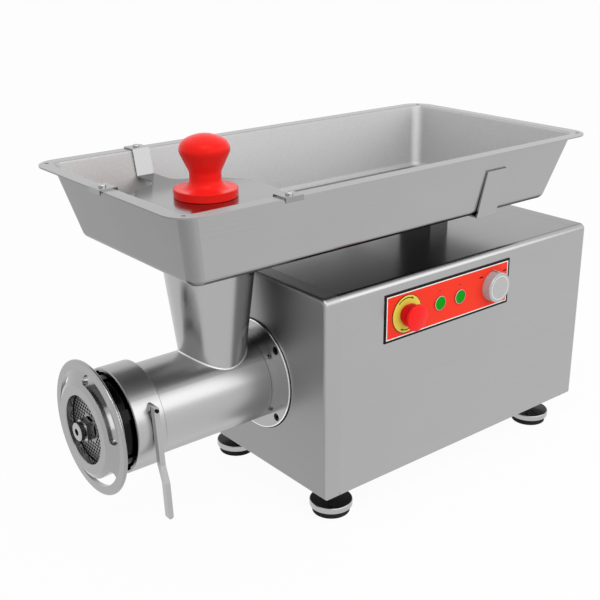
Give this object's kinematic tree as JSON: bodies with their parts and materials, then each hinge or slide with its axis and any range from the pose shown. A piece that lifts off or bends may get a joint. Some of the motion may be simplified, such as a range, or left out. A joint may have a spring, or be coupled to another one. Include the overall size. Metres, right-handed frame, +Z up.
{
  "type": "electric meat grinder",
  "caption": "Free-standing electric meat grinder: stainless casing on levelling feet, screw-fed mincing head with clamping wheel, meat tray with hand guard and pusher.",
  "frame": {"origin": "on the floor under the middle of the whole length and width", "axes": "+Z up, +X from the mincing head towards the motor end, -Y towards the control side"},
  "size_m": [0.8946, 0.3886, 0.5703],
  "materials": {
    "satin_stainless": "satin brushed",
    "turned_stainless": "fine turned, half bright",
    "screw_steel": "bright screw steel",
    "red_food_plastic": "semi-gloss moulded",
    "black_rubber": "matte",
    "printed_panel": "red printed overlay with black and white border",
    "yellow_legend": "satin",
    "red_switch_plastic": "semi-gloss moulded",
    "green_switch_plastic": "semi-gloss moulded",
    "black_switch_plastic": "matte moulded",
    "cast_housing": "as cast",
    "gear_steel": "machined",
    "motor_core": "varnished laminations",
    "painted_bracket": "satin",
    "capacitor_can": "drawn can"
  },
  "bodies": {
    "frame": {"base_plate": "satin_stainless", "bearings": "gear_steel", "button_bezels": "turned_stainless", "button_blocks": "black_switch_plastic", "cable_gland": "black_switch_plastic", "capacitor": "capacitor_can", "casing_screws": "screw_steel", "casing_shell": "satin_stainless", "contactor": "black_switch_plastic", "control_plate": "printed_panel", "cradle_post": "satin_stainless", "cradle_strap": "satin_stainless", "drive_stands": "painted_bracket", "estop_body": "black_switch_plastic", "estop_legend": "yellow_legend", "feed_neck": "satin_stainless", "flange_screws": "screw_steel", "front_panel": "satin_stainless", "gearbox_cover": "cast_housing", "gearbox_housing": "cast_housing", "gearbox_screws": "screw_steel", "head_barrel": "turned_stainless", "lever_pin": "screw_steel", "lock_collar": "turned_stainless", "motor_end_bell": "cast_housing", "motor_shell": "cast_housing", "motor_stator": "motor_core", "mounting_flange": "satin_stainless", "perforated_plate": "turned_stainless", "rear_cover": "satin_stainless", "selector_switch": "black_switch_plastic", "shaft_seal": "black_rubber", "thrust_washer": "black_switch_plastic"},
    "screw": {"auger": "turned_stainless", "cross_knife": "turned_stainless", "output_shaft": "gear_steel", "output_gear": "gear_steel"},
    "layshaft": {"layshaft": "gear_steel"},
    "rotor": {"motor_rotor": "gear_steel", "motor_fan": "black_switch_plastic"},
    "wheel": {"ring_wheel": "turned_stainless"},
    "lever": {"lock_lever": "turned_stainless"},
    "tray": {"tray_pan": "satin_stainless", "tray_throat": "satin_stainless", "hand_guard": "satin_stainless", "guard_screws": "screw_steel"},
    "pusher": {"pusher": "red_food_plastic"},
    "estop_plunger": {"estop_stem": "black_switch_plastic"},
    "estop_head": {"estop_head": "red_switch_plastic"},
    "button_one": {"button_one": "green_switch_plastic"},
    "button_two": {"button_two": "green_switch_plastic"},
    "selector": {"selector_knob": "turned_stainless"},
    "foot_front_near": {"foot_front_near": "turned_stainless", "foot_pad_front_near": "black_rubber"},
    "foot_front_far": {"foot_front_far": "turned_stainless", "foot_pad_front_far": "black_rubber"},
    "foot_rear_near": {"foot_rear_near": "turned_stainless", "foot_pad_rear_near": "black_rubber"},
    "foot_rear_far": {"foot_rear_far": "turned_stainless", "foot_pad_rear_far": "black_rubber"}
  },
  "joints": [
    {"name": "screw_spin", "type": "hinge", "parent": "frame", "child": "screw", "pos_m": [-0.29975, 0, 0.198], "axis": [1, 0, 0], "continuous": true},
    {"name": "layshaft_spin", "type": "hinge", "parent": "frame", "child": "layshaft", "pos_m": [-0.08975, 0, 0.279], "axis": [1, 0, 0], "continuous": true},
    {"name": "rotor_spin", "type": "hinge", "parent": "frame", "child": "rotor", "pos_m": [0.05025, 0, 0.198], "axis": [1, 0, 0], "continuous": true},
    {"name": "wheel_turn", "type": "hinge", "parent": "frame", "child": "wheel", "pos_m": [-0.41975, 0, 0.198], "axis": [1, 0, 0], "range_deg": [0, 60]},
    {"name": "lever_swing", "type": "hinge", "parent": "frame", "child": "lever", "pos_m": [-0.36995, -0.078, 0.236], "axis": [0, -1, 0], "range_deg": [-20, 90]},
    {"name": "tray_lift", "type": "slide", "parent": "frame", "child": "tray", "axis": [0, 0, 1], "range_m": [0, 0.12]},
    {"name": "pusher_lift", "type": "slide", "parent": "tray", "child": "pusher", "axis": [0, 0, 1], "range_m": [0, 0.2]},
    {"name": "estop_press", "type": "slide", "parent": "frame", "child": "estop_plunger", "axis": [0, 1, 0], "range_m": [0, 0.005]},
    {"name": "estop_twist", "type": "hinge", "parent": "estop_plunger", "child": "estop_head", "pos_m": [0.00315, -0.1632, 0.3035], "axis": [0, 1, 0], "range_deg": [0, 45]},
    {"name": "button_one_press", "type": "slide", "parent": "frame", "child": "button_one", "axis": [0, 1, 0], "range_m": [0, 0.003], "stiffness_N_per_m": 500},
    {"name": "button_two_press", "type": "slide", "parent": "frame", "child": "button_two", "axis": [0, 1, 0], "range_m": [0, 0.003], "stiffness_N_per_m": 500},
    {"name": "selector_turn", "type": "hinge", "parent": "frame", "child": "selector", "pos_m": [0.18965, -0.1632, 0.3035], "axis": [0, 1, 0], "range_deg": [-60, 60]},
    {"name": "foot_front_near_turn", "type": "hinge", "parent": "frame", "child": "foot_front_near", "pos_m": [-0.10375, -0.122, 0], "axis": [0, 0, 1], "continuous": true},
    {"name": "foot_front_far_turn", "type": "hinge", "parent": "frame", "child": "foot_front_far", "pos_m": [-0.10375, 0.122, 0], "axis": [0, 0, 1], "continuous": true},
    {"name": "foot_rear_near_turn", "type": "hinge", "parent": "frame", "child": "foot_rear_near", "pos_m": [0.36025, -0.122, 0], "axis": [0, 0, 1], "continuous": true},
    {"name": "foot_rear_far_turn", "type": "hinge", "parent": "frame", "child": "foot_rear_far", "pos_m": [0.36025, 0.122, 0], "axis": [0, 0, 1], "continuous": true}
  ],
  "couplings": [
    {"joint": "layshaft_spin", "follows": "screw_spin", "ratio": -3},
    {"joint": "rotor_spin", "follows": "screw_spin", "ratio": 9}
  ]
}
